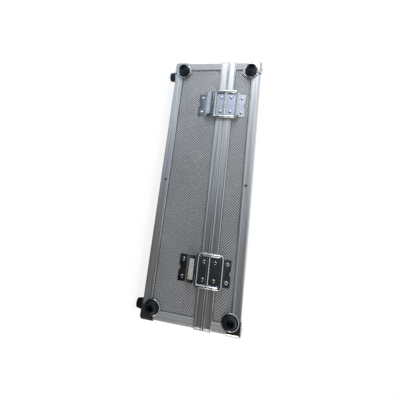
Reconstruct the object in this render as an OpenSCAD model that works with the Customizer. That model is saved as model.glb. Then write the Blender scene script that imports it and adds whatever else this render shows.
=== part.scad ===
/* [Case] */
// Length of the case over its edge profiles, in mm
case_l = 440; // [400:5:560]
// Depth from the hinge side to the handle side
case_d = 330; // [290:5:420]
// Height of the base up to the seam, without the feet
base_h = 95; // [92:1:140]
// Height of the lid from the seam to the top
lid_h = 55; // [51:1:90]
// Thickness of the wall panels
panel_t = 4; // [3:0.5:4.5]

/* [Edge profiles] */
// Width of each leg of the angle profile
edge_leg = 14.5; // [12:0.5:17]
// Thickness of the angle profile
edge_t = 1.2; // [1:0.1:1.6]
// Radius of the rounded outer edge
edge_r = 3; // [2.6:0.2:3.6]
// Radius of the bead along the profile's rim
bead_r = 1.5; // [1.2:0.1:1.8]
// How far a bead stands out of its band
bead_rise = 0.6; // [0.4:0.1:0.8]

/* [Closing rims] */
// Height of one rim band beside the seam
rim_h = 13; // [12:0.5:14]
// How far the rim band stands out of the edge profiles
rim_proud = 2; // [1.5:0.5:3]
// Gap between the two rims
seam_gap = 0.4; // [0.3:0.1:0.8]
// Height of the lip that enters the lid
lip_h = 5; // [3:0.5:7]

/* [Corners and feet] */
// Reach of a corner cap's leaves along the edges
cap_reach = 19; // [16:1:22]
// Thickness of a corner cap
cap_t = 1; // [0.8:0.1:1.4]
// Radius of the cap's round lobe under a foot
lobe_r = 13; // [12:0.5:14]
// Height of the feet from the case
foot_h = 13.6; // [12:0.2:16]
// Radius of a foot at its flange
foot_r = 11.5; // [9:0.5:12]
// Radius of a foot's flat end
foot_end_r = 7.25; // [6:0.25:8]
// Distance of a foot's centre from the end of the case
foot_in_x = 17.6; // [15:0.2:20]
// Distance of a bottom foot's centre from the hinge side
foot_in_y = 17.9; // [15:0.1:20]
// Distance of a back foot's centre from the bottom or top
foot_in_z = 16.2; // [14:0.2:18]

/* [Hinges] */
// Distance of a hinge's centre from the end of the case
hinge_in = 83; // [60:1:120]
// Width of a hinge leaf
leaf_w = 40.5; // [36:0.5:46]
// Thickness of the leaf's sheet
leaf_t = 1; // [0.8:0.1:1]
// Radius of the hinge knuckle
knuckle_r = 2.5; // [2.3:0.1:2.6]
// Radius of the hinge pin
pin_r = 1.5; // [1.2:0.1:1.7]
// Length of the base leaf from the hinge axis
base_leaf_l = 45; // [44:0.5:50]
// Room between the lid leaf's end and the top edge profile
lid_leaf_gap = 6.8; // [4:0.1:8]
// Radius of the stay ring's rod
stay_r = 2.5; // [2:0.1:2.5]
// Distance of the stay's pivot from the hinge axis
stay_pivot = 20; // [19.5:0.5:21]
// Distance of the stay's sliding rod from the hinge axis, lid closed
stay_slide = 17; // [17:0.1:17.4]
// Room in the leaf's hump along the case wall
hump_l = 12.8; // [12.6:0.1:13.4]
// Height of the room in the hump, over the panel
hump_h = 11.6; // [11.4:0.1:12]

/* [Latches] */
// Distance of a latch's centre from the end of the case
latch_in = 83; // [60:1:100]
// Width of the latch lever
lever_w = 28; // [24:1:34]
// Angle at which the unlatched lever stands off the case
latch_open = 20; // [10:1:30]
// Radius of the lock barrel
lock_r = 4.5; // [3.5:0.5:5.5]

/* [Handle] */
// Distance between the middles of the handle's arms
handle_w = 108; // [100:2:140]
// Distance from the handle's pivot to its grip
handle_drop = 38; // [34:1:42]
// Radius of the handle's rod
rod_r = 3.5; // [3:0.5:4]
// Length of the grip
grip_l = 84; // [70:2:84]
// Radius of the grip in its middle
grip_r = 9; // [8:0.5:10]

/* [Lining] */
// Thickness of the foam on the case's floor
floor_foam_t = 10; // [6:1:16]
// Thickness of the foam along the walls
wall_foam_t = 15; // [10:1:20]
// Thickness of a divider
divider_t = 8; // [6:1:10]
// Room between the lid's rim and the foam in the lid
lid_foam_gap = 6.8; // [4:0.2:14]
// Place of the front dividers, as a share of the way from the middle to an end
divider_share = 0.3; // [0.2:0.05:0.5]

/* [Hidden] */

$fn = 48;
// Overrun of every cut past the face it opens
over = 1;
// Running clearance of a pin or rod in its bore
run_fit = 0.05;
// Gap between pieces that move past each other
air = 0.3;
// Play of soft lining pieces in their space
foam_play = 0.3;

// Arc centre of the rim's corner, inside the panel's face
rim_c = 3;
// Thickness of the rim's web over the panel edge
web_t = 1.6;
// Thickness of the rim's inner flange and of the lip
flange_t = 1.2;
// Height of the rim's inner flange down the panel
flange_h = 8;
// Play between the lip and the lid's flange
lip_play = 0.5;

// Stand-off of a corner cap from the profiles, just over their beads
cap_off = bead_rise + 0.15 * cap_t;
// Place of the rivet on a cap's leaf, from each edge
cap_rivet_in = 9;

// Height of a foot's straight flange
foot_flange_h = 3;
// Radius of the screw recess in a foot
recess_r = 4.4;
// Depth of the screw recess in a foot
recess_h = 4;
// Radius and height of a foot screw's head, and its shank's radius
screw_head_r = 3.6;
screw_head_h = 2;
screw_r = 2;

// Radius and height of a rivet's domed head
rivet_r = 2.4;
rivet_h = 1.3;
// Distance of the profile rivets from the case's edge
edge_rivet_in = 9.5;

// Distances of the leaf rivets from the hinge axis or the leaf's end, and half their spacing
base_rivet_near = 6.8;
base_rivet_far = 39;
lid_rivet_near = 9.7;
lid_rivet_in = 5.5;
rivet_half = 13.2;
// Radius and overlap of the notch in a leaf's end
notch_r = 5;
notch_deep = 2.2;
// Knuckles on a hinge: two on the base leaf, one on the lid leaf
knuckle_n = 3;
// Place of the hump's mouth, from the hinge axis
hump_mouth = 20.5;
// Steps of the hump's curve
hump_steps = 14;
// Wall of the clip that holds the stay's pivot rod
clip_t = 1.4;
// How far the clip's lips reach past the rod's middle
clip_lip = 1;
// Length of the clip along the rod
clip_l = 38;
// Bend radius of the stay rod's corners, to its middle
stay_bend = 3.5;
// Free length beside the leaf inside the stay ring
stay_side = 0.5;

// Latch: pivot off the case's outer plane and over the seam
latch_out = 5;
latch_up = 18;
lever_t = 1.6;
lever_down = 22;
barrel_r = 2.6;
latch_pin_r = 1.25;
// Inner end of the lever's nose, off the outer plane
nose_in = 0.5;
// Outer end of the lever's finger tab, off the outer plane
tab_out = 9;
// Keeper: sheet, ledge and play under the nose
keeper_t = 1;
keeper_w = 24;
keeper_top = 15;
keeper_l = 20;
ledge_w = 20;
ledge_h = 3.5;
ledge_out = 2.4;
nose_play = 0.4;
// Mount on the lid: sheet, room to the top edge profile, and ears
mount_t = 1;
mount_gap = 6.9;
ear_t = 2;
ear_r = 3.4;
// Wall of the boss round the lock barrel, and its place under the pivot
boss_t = 2.2;
boss_h = 3;
lock_down = 26;
key_w = 1;
key_l = 5;
key_deep = 2;

// Handle: pivot under the seam and off the case's outer plane
handle_down = 30;
handle_out = 10.5;
// Radius and length of the pivot stub, and the bracket round it
stub_r = 3;
stub_l = 17;
bracket_gap = 1;
bracket_l = 15;
bracket_r = 5.5;
bracket_t = 1.4;
bracket_h = 24;
bracket_w = 27;
// Bend of the handle's rod, to its middle
rod_bend = 9;
// Radius of the grip at its ends
grip_end_r = 7.5;

// Lining: tops and places of the dividers
foam_top_in = 11;
divider_top_in = 15;
divider_y = 30;

case_h = base_h + lid_h;
half_l = case_l / 2;
half_d = case_d / 2;
hinge_x = half_l - hinge_in;
latch_x = half_l - latch_in;
divider_x = divider_share * half_l;
// Half sizes to the panels' outer faces, and to their inner faces
face_x = half_l - edge_t;
face_y = half_d - edge_t;
in_x = face_x - panel_t;
in_y = face_y - panel_t;
floor_z = edge_t + panel_t;
base_wall_top = base_h - seam_gap / 2 - web_t;
lid_wall_low = base_h + seam_gap / 2 + web_t;
roof_z = case_h - floor_z;
lid_foam_t = roof_z - base_h - rim_h - lid_foam_gap;
rim_out = edge_t + rim_proud;
lid_leaf_l = lid_h - edge_leg - lid_leaf_gap;
lid_rivet_far = lid_leaf_l - lid_rivet_in;
mount_l = lid_h - edge_leg - mount_gap - latch_up + ear_r;
lip_in = panel_t + flange_t + lip_play + flange_t;

// Hinge axis outside the back plane, and the levels seen from it
hinge_out = rim_proud + bead_rise + air + knuckle_r;
lvl_leaf = -knuckle_r - air;
lvl_panel = -hinge_out - edge_t;
knuckle_l = leaf_w / knuckle_n;
leaf_gap = seam_gap / 2;
step_at = rim_h + run_fit * 2;
stay_half = leaf_w / 2 + stay_side + stay_r;

// Handle's and latches' reach in front of the case, and the feet's behind it
tab_low = latch_up + lever_down + lever_t;
front_reach = latch_out + (tab_out - latch_out) * cos(latch_open) + tab_low * sin(latch_open);
// The whole case is moved so that the frame's origin is under the middle of its outline
mid_y = (front_reach - foot_h) / 2;

module place() {
    translate([0, mid_y, foot_h]) children();
}

// Copies at both ends of the case
module both_x() {
    children();
    mirror([1, 0, 0]) children();
}

module both_y() {
    children();
    mirror([0, 1, 0]) children();
}

// Turns a drawing so that its x is +Y and its y is +Z, and runs it along X
module along_x(l) {
    rotate([90, 0, 90]) linear_extrude(height = l, center = true) children();
}

// Turns a drawing so that its x is +X and its y is +Z, and runs it along Y
module along_y(l) {
    rotate([90, 0, 0]) linear_extrude(height = l, center = true) children();
}

module box(x0, x1, y0, y1, z0, z1) {
    translate([x0, y0, z0]) cube([x1 - x0, y1 - y0, z1 - z0]);
}

// Domed rivet head on the plane z = 0
module rivet() {
    dome_r = (rivet_r * rivet_r + rivet_h * rivet_h) / (2 * rivet_h);
    rotate_extrude()
        intersection() {
            translate([0, rivet_h - dome_r]) circle(r = dome_r);
            square([rivet_r, rivet_h]);
        }
}

// Faces of the case: z of the children points out of the face
module on_back(x, out, z) {
    translate([x, half_d + out, z]) rotate([-90, 0, 0]) children();
}

module on_front(x, out, z) {
    mirror([0, 1, 0]) on_back(x, out, z) children();
}

module on_end(y, out, z) {
    translate([half_l + out, y, z]) rotate([0, 90, 0]) children();
}

// Turns the lid's pieces over, so that they are drawn like the base's
module from_top() {
    translate([0, 0, case_h]) mirror([0, 0, 1]) children();
}

// Angle profile with a rounded edge and a bead along each leg's rim
module edge_profile() {
    difference() {
        union() {
            translate([edge_r, 0]) square([edge_leg - edge_r, edge_t]);
            translate([0, edge_r]) square([edge_t, edge_leg - edge_r]);
            translate([edge_r, edge_r]) circle(r = edge_r);
            translate([edge_leg - bead_r, bead_r - bead_rise]) circle(r = bead_r);
            translate([bead_r - bead_rise, edge_leg - bead_r]) circle(r = bead_r);
        }
        translate([edge_t, edge_t]) square(edge_leg + over);
    }
}

module long_edges() {
    both_y() translate([0, -half_d, 0]) along_x(case_l - 2 * edge_r) edge_profile();
}

module short_edges() {
    both_x() translate([-half_l, 0, 0]) along_y(case_d - 2 * edge_leg) edge_profile();
}

module posts(top) {
    both_x() both_y() translate([-half_l, -half_d, edge_leg])
        linear_extrude(height = top - edge_leg) edge_profile();
}

// Band of a rim under the seam, drawn from the corner's arc centre
module rim_band() {
    translate([rim_c, -rim_h]) square([rim_out, rim_h - seam_gap / 2]);
    translate([rim_c + rim_out + bead_rise - bead_r, 0]) {
        translate([0, bead_r - rim_h]) circle(r = bead_r);
        translate([0, -seam_gap / 2 - bead_r]) circle(r = bead_r);
    }
}

// Upright ring between two distances inside the panels' outer faces
module ring_wall(d0, d1, z0, z1) {
    difference() {
        box(d0 - face_x, face_x - d0, d0 - face_y, face_y - d0, z0, z1);
        box(d1 - face_x, face_x - d1, d1 - face_y, face_y - d1, z0 - over, z1 + over);
    }
}

// Whole rim under the seam at z = 0; the base's has a lip inside
module rim_ring(lip) {
    difference() {
        union() {
            both_y() translate([0, face_y - rim_c, 0]) along_x(2 * (face_x - rim_c)) rim_band();
            both_x() translate([face_x - rim_c, 0, 0]) along_y(2 * (face_y - rim_c)) rim_band();
            both_x() both_y() translate([face_x - rim_c, face_y - rim_c, 0])
                rotate_extrude(angle = 90) rim_band();
        }
        box(-face_x, face_x, -face_y, face_y, -rim_h - over, over);
    }
    ring_wall(0, lip ? lip_in : panel_t + flange_t, -seam_gap / 2 - web_t, -seam_gap / 2);
    ring_wall(panel_t, panel_t + flange_t, -flange_h, -seam_gap / 2);
    if (lip) ring_wall(lip_in - flange_t, lip_in, -seam_gap / 2 - web_t, lip_h);
}

// The front and back bars of a rim with its corners, or the two end bars between them
module rim_part(lip, long) {
    cut_y = face_y - (lip ? lip_in : panel_t + flange_t);
    far = half_l + half_d;
    intersection() {
        rim_ring(lip);
        if (long) both_y() box(-far, far, cut_y, far, -rim_h - over, lip_h + over);
        else box(-far, far, -cut_y, cut_y, -rim_h - over, lip_h + over);
    }
}

// Block whose three outer edges and corner are rounded, off the case's corner by out
module round_block(out, s) {
    r = edge_r + out;
    translate([edge_r, edge_r, edge_r]) {
        sphere(r = r);
        cylinder(r = r, h = s);
        rotate([0, 90, 0]) cylinder(r = r, h = s);
        rotate([-90, 0, 0]) cylinder(r = r, h = s);
        translate([-r, 0, 0]) cube([r + s, s, s]);
        translate([0, -r, 0]) cube([s, r + s, s]);
        translate([0, 0, -r]) cube([s, s, r + s]);
    }
}

// Three-leaf corner cap at the origin, with its case corner towards +X +Y +Z
module corner_cap(foot_below, foot_behind) {
    out = cap_off + cap_t;
    difference() {
        intersection() {
            round_block(out, cap_reach);
            sphere(r = cap_reach + out);
        }
        round_block(cap_off, cap_reach + over * 4);
    }
    if (foot_below) difference() {
        translate([foot_in_x, foot_in_y, -out]) cylinder(r = lobe_r, h = cap_t);
        box(-out - over, edge_r, -out, lobe_r * 3, -out - over, 0);
        box(-out, lobe_r * 3, -out - over, edge_r, -out - over, 0);
    }
    if (foot_behind) difference() {
        translate([foot_in_x, -out, foot_in_z]) rotate([-90, 0, 0]) cylinder(r = lobe_r, h = cap_t);
        box(-out - over, edge_r, -out - over, 0, -out, lobe_r * 3);
        box(-out, lobe_r * 3, -out - over, 0, -out - over, edge_r);
    }
}

// Rubber foot with its flange at z = 0 and its flat end up
module foot() {
    h = foot_h - cap_off - cap_t;
    difference() {
        union() {
            cylinder(r = foot_r, h = foot_flange_h);
            translate([0, 0, foot_flange_h])
                cylinder(r1 = foot_r, r2 = foot_end_r, h = h - foot_flange_h);
        }
        translate([0, 0, h - recess_h]) cylinder(r = recess_r, h = recess_h + over);
        translate([0, 0, -over]) cylinder(r = screw_r + run_fit, h = h);
    }
}

module foot_screw() {
    seat = foot_h - cap_off - cap_t - recess_h;
    cylinder(r = screw_r, h = seat);
    translate([0, 0, seat]) cylinder(r = screw_head_r, h = screw_head_h);
}

module at_back_foot() {
    both_x() on_back(half_l - foot_in_x, cap_off + cap_t, foot_in_z) children();
}

module at_bottom_foot() {
    both_x() both_y() translate([half_l - foot_in_x, half_d - foot_in_y, -cap_off - cap_t])
        mirror([0, 0, 1]) children();
}

// Frame at the middle of one hinge's axis: +Y out of the case, +Z towards the lid
module at_hinges() {
    for (side = [-1, 1])
        at_hinge(side) children();
}

module at_hinge(side) {
    translate([side * hinge_x, half_d + hinge_out, base_h]) children();
}

// Side view of a leaf over the rim, down its step and along the panel to its end
module leaf_section(l) {
    translate([lvl_leaf, leaf_gap]) square([leaf_t, step_at + leaf_t - leaf_gap]);
    translate([lvl_panel, step_at]) square([lvl_leaf + leaf_t - lvl_panel, leaf_t]);
    translate([lvl_panel, step_at]) square([leaf_t, l - step_at]);
}

// Quarter of an oval, from the panel up, with its mouth towards the hinge axis
module hump_oval(l, h) {
    translate([lvl_panel, hump_mouth])
        polygon(concat([[0, 0]], [for (i = [0:hump_steps])
            [h * cos(90 * i / hump_steps), l * sin(90 * i / hump_steps)]]));
}

module base_leaf_section() {
    leaf_section(base_leaf_l);
    difference() {
        hump_oval(hump_l + leaf_t, hump_h + leaf_t);
        hump_oval(hump_l, hump_h);
    }
}

// Clip of the stay's pivot rod on the lid leaf
module clip_section() {
    r = stay_r + run_fit + clip_t;
    difference() {
        translate([0, stay_pivot]) {
            circle(r = r);
            translate([lvl_panel, -r]) square([-lvl_panel, 2 * r]);
        }
        translate([0, stay_pivot]) circle(r = stay_r + run_fit);
        translate([clip_lip, stay_pivot - r - over]) square(2 * (r + over));
    }
}

module along_axis(l, r) {
    rotate([0, 90, 0]) cylinder(r = r, h = l, center = true);
}

module base_leaf() {
    difference() {
        union() {
            mirror([0, 0, 1]) along_x(leaf_w) base_leaf_section();
            for (s = [-1, 1])
                translate([s * (leaf_w - knuckle_l) / 2, 0, 0]) along_axis(knuckle_l, knuckle_r);
        }
        along_axis(leaf_w + over, pin_r);
        along_axis(knuckle_l + 2 * air, knuckle_r + air);
        translate([0, 0, notch_deep - base_leaf_l - notch_r])
            rotate([90, 0, 0]) cylinder(r = notch_r, h = 4 * knuckle_r * knuckle_n, center = true);
    }
}

module lid_leaf() {
    difference() {
        union() {
            along_x(leaf_w) leaf_section(lid_leaf_l);
            along_x(clip_l) clip_section();
            along_axis(knuckle_l, knuckle_r);
        }
        along_axis(leaf_w + over, pin_r + run_fit);
        for (s = [-1, 1])
            translate([s * (leaf_w - knuckle_l + over) / 2, 0, 0])
                along_axis(knuckle_l + 2 * air + over, knuckle_r + air);
        translate([0, 0, lid_leaf_l - notch_deep + notch_r])
            rotate([90, 0, 0]) cylinder(r = notch_r, h = 4 * knuckle_r * knuckle_n, center = true);
    }
}

module leaf_rivets(near, far, up) {
    for (s = [-1, 1]) {
        translate([s * rivet_half, lvl_leaf + leaf_t, up * near]) rotate([-90, 0, 0]) rivet();
        translate([s * rivet_half, lvl_panel + leaf_t, up * far]) rotate([-90, 0, 0]) rivet();
    }
}

// Closed ring of round rod in the plane of the case's back
module stay_ring() {
    x = stay_half - stay_bend;
    top = stay_pivot - stay_bend;
    low = stay_bend - stay_slide;
    for (z = [stay_pivot, -stay_slide])
        translate([0, 0, z]) along_axis(2 * x, stay_r);
    for (s = [-1, 1])
        translate([s * stay_half, 0, low]) cylinder(r = stay_r, h = top - low);
    both_x() {
        translate([x, 0, top]) rotate([90, 0, 0])
            rotate_extrude(angle = 90) translate([stay_bend, 0]) circle(r = stay_r);
        translate([x, 0, low]) rotate([-90, 0, 0])
            rotate_extrude(angle = 90) translate([stay_bend, 0]) circle(r = stay_r);
    }
}

// Frame of a latch: origin on the case's outer plane at the seam, +Y out, +Z towards the lid
module at_latch(side) {
    translate([side * latch_x, 0, base_h]) mirror([0, 1, 0]) translate([0, half_d, 0]) children();
}

// The unlatched lever is swung out about its pivot
module lever_turn() {
    translate([0, latch_out, latch_up]) rotate([latch_open, 0, 0])
        translate([0, -latch_out, -latch_up]) children();
}

module lever() {
    in = latch_out - lever_t / 2 - bead_rise * 2;
    lock_z = latch_up - lock_down;
    difference() {
        union() {
            translate([0, latch_out, latch_up]) along_axis(lever_w, barrel_r);
            box(-lever_w / 2, lever_w / 2, in, in + lever_t, -lever_down, latch_up);
            box(-ledge_w / 2, ledge_w / 2, nose_in, in + lever_t, -lever_down - lever_t, -lever_down);
            box(-lever_w / 2, lever_w / 2, in, tab_out, -lever_down - lever_t, -lever_down);
            translate([0, in + lever_t, lock_z]) rotate([-90, 0, 0])
                cylinder(r = lock_r + boss_t, h = boss_h);
        }
        translate([0, latch_out, latch_up]) along_axis(lever_w + over, latch_pin_r + run_fit);
        translate([0, in + lever_t, lock_z]) rotate([-90, 0, 0])
            cylinder(r = lock_r + run_fit, h = boss_h + over);
    }
}

module lock_barrel() {
    in = latch_out - lever_t / 2 - bead_rise * 2;
    translate([0, in + lever_t, latch_up - lock_down]) difference() {
        rotate([-90, 0, 0]) cylinder(r = lock_r, h = boss_h);
        box(-key_w / 2, key_w / 2, boss_h - key_deep, boss_h + over, -key_l / 2, key_l / 2);
    }
}

module keeper() {
    top = -lever_down + nose_play + ledge_h;
    box(-keeper_w / 2, keeper_w / 2, -edge_t, keeper_t - edge_t, -keeper_top - keeper_l, -keeper_top);
    box(-ledge_w / 2, ledge_w / 2, keeper_t - edge_t, ledge_out, top - ledge_h, top);
}

module latch_mount() {
    x = lever_w / 2 + air;
    low = latch_up - ear_r;
    difference() {
        union() {
            box(-x - ear_t, x + ear_t, -edge_t, mount_t - edge_t, low, low + mount_l);
            both_x() translate([x + ear_t / 2, latch_out, latch_up]) along_axis(ear_t, ear_r);
            both_x() box(x, x + ear_t, -edge_t, latch_out, low, latch_up + ear_r);
        }
        translate([0, latch_out, latch_up]) along_axis(lever_w * 2, latch_pin_r);
    }
}

// Frame of the handle's pivot: +Y out of the front, +Z towards the lid
module at_handle() {
    mirror([0, 1, 0]) translate([0, half_d + handle_out, base_h - handle_down]) children();
}

module bracket() {
    x = handle_w / 2 + rod_r + bracket_gap;
    wall = -handle_out - edge_t;
    mid = x + bracket_l / 2;
    difference() {
        union() {
            translate([mid, 0, 0]) along_axis(bracket_l, bracket_r);
            box(x, x + bracket_l, wall, 0, -bracket_r, bracket_r);
            box(mid - bracket_w / 2, mid + bracket_w / 2, wall, wall + bracket_t,
                -bracket_h / 2, bracket_h / 2);
        }
        translate([x - over, 0, 0]) rotate([0, 90, 0])
            cylinder(r = stub_r + run_fit, h = stub_l - rod_r + over);
    }
}

module bail() {
    x = handle_w / 2;
    low = -handle_drop;
    both_x() {
        translate([x, 0, 0]) sphere(r = rod_r);
        translate([x, 0, 0]) rotate([0, 90, 0]) cylinder(r = stub_r, h = stub_l);
        translate([x, 0, low + rod_bend]) cylinder(r = rod_r, h = -low - rod_bend);
        translate([x - rod_bend, 0, low + rod_bend]) rotate([-90, 0, 0])
            rotate_extrude(angle = 90) translate([rod_bend, 0]) circle(r = rod_r);
    }
    translate([0, 0, low]) along_axis(2 * (x - rod_bend), rod_r);
}

// Grip with a fuller middle, round the handle's rod
module grip() {
    bulge = grip_r - grip_end_r;
    arc_r = (grip_l * grip_l / 4 + bulge * bulge) / (2 * bulge);
    translate([0, 0, -handle_drop]) rotate([0, 90, 0]) rotate_extrude()
        difference() {
            intersection() {
                translate([0, -grip_l / 2]) square([grip_r, grip_l]);
                translate([grip_r - arc_r, 0]) circle(r = arc_r, $fn = 720);
            }
            translate([-over, -grip_l / 2 - over]) square([rod_r + over, grip_l + 2 * over]);
        }
}

module bracket_rivets() {
    mid = handle_w / 2 + rod_r + bracket_gap + bracket_l / 2;
    both_x() for (z = [-1, 1], s = [-1, 1])
        translate([mid + s * (bracket_w / 2 - rivet_r * 1.2), bracket_t - handle_out - edge_t,
            z * (bracket_h / 2 - rivet_r * 1.4)]) rotate([-90, 0, 0]) rivet();
}

module base_bottom_panel() {
    color("lightgray") box(-face_x, face_x, -face_y, face_y, edge_t, floor_z);
}

module base_front_panel() {
    color("lightgray") box(-face_x, face_x, -face_y, -in_y, floor_z, base_wall_top);
}

module base_back_panel() {
    color("lightgray") box(-face_x, face_x, in_y, face_y, floor_z, base_wall_top);
}

module base_left_panel() {
    color("lightgray") box(-face_x, -in_x, -in_y, in_y, floor_z, base_wall_top);
}

module base_right_panel() {
    color("lightgray") box(in_x, face_x, -in_y, in_y, floor_z, base_wall_top);
}

module base_long_edges() {
    color("gainsboro") long_edges();
}

module base_short_edges() {
    color("gainsboro") short_edges();
}

module base_posts() {
    color("gainsboro") posts(base_h - rim_h);
}

module base_rim_long() {
    color("whitesmoke") translate([0, 0, base_h]) rim_part(true, true);
}

module base_rim_short() {
    color("whitesmoke") translate([0, 0, base_h]) rim_part(true, false);
}

module base_corners() {
    color("silver") {
        both_x() translate([-half_l, half_d, 0]) mirror([0, 1, 0]) corner_cap(true, true);
        both_x() translate([-half_l, -half_d, 0]) corner_cap(true, false);
    }
}

module base_feet() {
    color([0.06, 0.07, 0.09]) {
        at_back_foot() foot();
        at_bottom_foot() foot();
    }
}

module base_foot_screws() {
    color("dimgray") {
        at_back_foot() foot_screw();
        at_bottom_foot() foot_screw();
    }
}

// Rivets of the profiles at mid-length and of the caps' free leaves
module shell_rivets() {
    out = cap_off + cap_t;
    on_back(0, 0, edge_rivet_in) rivet();
    on_front(0, 0, edge_rivet_in) rivet();
    both_x() on_front(half_l - cap_rivet_in, out, cap_rivet_in) rivet();
    both_x() both_y() on_end(half_d - cap_rivet_in, out, cap_rivet_in) rivet();
}

module base_rivets() {
    color("silver") shell_rivets();
}

module hinge_base_leaves() {
    color("silver") at_hinges() base_leaf();
}

module hinge_pins() {
    color("darkgray") at_hinges() along_axis(leaf_w, pin_r);
}

module hinge_base_rivets() {
    color("silver") at_hinges() leaf_rivets(base_rivet_near, base_rivet_far, -1);
}

module latch_keepers() {
    color("silver") for (side = [-1, 1])
        at_latch(side) keeper();
}

module latch_keeper_rivets() {
    low = -keeper_top - keeper_l + rivet_r * 1.5;
    color("silver") for (side = [-1, 1], s = [-1, 1])
        at_latch(side) translate([s * keeper_w / 4, keeper_t - edge_t, low])
            rotate([-90, 0, 0]) rivet();
}

module handle_brackets() {
    color("silver") at_handle() both_x() bracket();
}

module handle_bracket_rivets() {
    color("silver") at_handle() bracket_rivets();
}

foam_x = in_x - foam_play;
foam_y = in_y - foam_play;
well_x = foam_x - wall_foam_t;
well_y = foam_y - wall_foam_t;
well_z = floor_z + floor_foam_t;
foam_top = base_h - foam_top_in;
divider_top = base_h - divider_top_in;

module foam_floor() {
    color([0.2, 0.2, 0.22]) box(-foam_x, foam_x, -foam_y, foam_y, floor_z, well_z);
}

module foam_walls() {
    color([0.2, 0.2, 0.22]) {
        both_y() box(-foam_x, foam_x, well_y, foam_y, well_z, foam_top);
        both_x() box(well_x, foam_x, foam_play - well_y, well_y - foam_play, well_z, foam_top);
    }
}

module long_divider() {
    x = well_x - foam_play;
    color([0.25, 0.25, 0.27])
        box(-x, x, divider_y - divider_t / 2, divider_y + divider_t / 2, well_z, divider_top);
}

module cross_dividers() {
    near = divider_y - divider_t / 2 - foam_play;
    back = divider_y + divider_t / 2 + foam_play;
    half = divider_t / 2;
    color([0.25, 0.25, 0.27]) {
        both_x() box(divider_x - half, divider_x + half, foam_play - well_y, near, well_z, divider_top);
        box(-half, half, back, well_y - foam_play, well_z, divider_top);
    }
}

module lid_top_panel() {
    color("lightgray") from_top() box(-face_x, face_x, -face_y, face_y, edge_t, floor_z);
}

module lid_front_panel() {
    color("lightgray") box(-face_x, face_x, -face_y, -in_y, lid_wall_low, roof_z);
}

module lid_back_panel() {
    color("lightgray") box(-face_x, face_x, in_y, face_y, lid_wall_low, roof_z);
}

module lid_left_panel() {
    color("lightgray") box(-face_x, -in_x, -in_y, in_y, lid_wall_low, roof_z);
}

module lid_right_panel() {
    color("lightgray") box(in_x, face_x, -in_y, in_y, lid_wall_low, roof_z);
}

module lid_long_edges() {
    color("gainsboro") from_top() long_edges();
}

module lid_short_edges() {
    color("gainsboro") from_top() short_edges();
}

module lid_posts() {
    color("gainsboro") from_top() posts(case_h - base_h - rim_h);
}

module lid_rim_long() {
    color("whitesmoke") translate([0, 0, base_h]) mirror([0, 0, 1]) rim_part(false, true);
}

module lid_rim_short() {
    color("whitesmoke") translate([0, 0, base_h]) mirror([0, 0, 1]) rim_part(false, false);
}

module lid_corners() {
    color("silver") from_top() {
        both_x() translate([-half_l, half_d, 0]) mirror([0, 1, 0]) corner_cap(false, true);
        both_x() translate([-half_l, -half_d, 0]) corner_cap(false, false);
    }
}

module lid_feet() {
    color([0.06, 0.07, 0.09]) from_top() at_back_foot() foot();
}

module lid_foot_screws() {
    color("dimgray") from_top() at_back_foot() foot_screw();
}

module lid_rivets() {
    color("silver") from_top() {
        shell_rivets();
        both_x() both_y() translate([half_l - cap_rivet_in, half_d - cap_rivet_in, -cap_off - cap_t])
            mirror([0, 0, 1]) rivet();
    }
}

module hinge_lid_leaves() {
    color("silver") at_hinges() lid_leaf();
}

module hinge_lid_rivets() {
    color("silver") at_hinges() leaf_rivets(lid_rivet_near, lid_rivet_far, 1);
}

module latch_mounts() {
    color("silver") for (side = [-1, 1])
        at_latch(side) latch_mount();
}

module latch_mount_rivets() {
    up = latch_up - ear_r + mount_l - rivet_r * 1.5;
    color("silver") for (side = [-1, 1], s = [-1, 1])
        at_latch(side) translate([s * lever_w / 3, mount_t - edge_t, up]) rotate([-90, 0, 0]) rivet();
}

module latch_pins() {
    color("darkgray") for (side = [-1, 1])
        at_latch(side) translate([0, latch_out, latch_up])
            along_axis(lever_w + 2 * (air + ear_t), latch_pin_r);
}

module lid_foam() {
    color([0.2, 0.2, 0.22]) box(-foam_x, foam_x, -foam_y, foam_y, roof_z - lid_foam_t, roof_z);
}

module left_stay_ring() {
    color("lightsteelblue") at_hinge(-1) stay_ring();
}

module right_stay_ring() {
    color("lightsteelblue") at_hinge(1) stay_ring();
}

module left_latch_lever() {
    color("lightsteelblue") at_latch(-1) lever_turn() lever();
}

module right_latch_lever() {
    color("lightsteelblue") at_latch(1) lever_turn() lever();
}

module left_lock_barrel() {
    color("goldenrod") at_latch(-1) lever_turn() lock_barrel();
}

module right_lock_barrel() {
    color("goldenrod") at_latch(1) lever_turn() lock_barrel();
}

module handle_bail() {
    color("lightsteelblue") at_handle() bail();
}

module handle_grip() {
    color([0.06, 0.06, 0.07]) at_handle() grip();
}

place() base_bottom_panel();
place() base_front_panel();
place() base_back_panel();
place() base_left_panel();
place() base_right_panel();
place() base_long_edges();
place() base_short_edges();
place() base_posts();
place() base_rim_long();
place() base_rim_short();
place() base_corners();
place() base_feet();
place() base_foot_screws();
place() base_rivets();
place() hinge_base_leaves();
place() hinge_pins();
place() hinge_base_rivets();
place() latch_keepers();
place() latch_keeper_rivets();
place() handle_brackets();
place() handle_bracket_rivets();
place() foam_floor();
place() foam_walls();
place() long_divider();
place() cross_dividers();
place() lid_top_panel();
place() lid_front_panel();
place() lid_back_panel();
place() lid_left_panel();
place() lid_right_panel();
place() lid_long_edges();
place() lid_short_edges();
place() lid_posts();
place() lid_rim_long();
place() lid_rim_short();
place() lid_corners();
place() lid_feet();
place() lid_foot_screws();
place() lid_rivets();
place() hinge_lid_leaves();
place() hinge_lid_rivets();
place() latch_mounts();
place() latch_mount_rivets();
place() latch_pins();
place() lid_foam();
place() left_stay_ring();
place() right_stay_ring();
place() left_latch_lever();
place() right_latch_lever();
place() left_lock_barrel();
place() right_lock_barrel();
place() handle_bail();
place() handle_grip();
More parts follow.
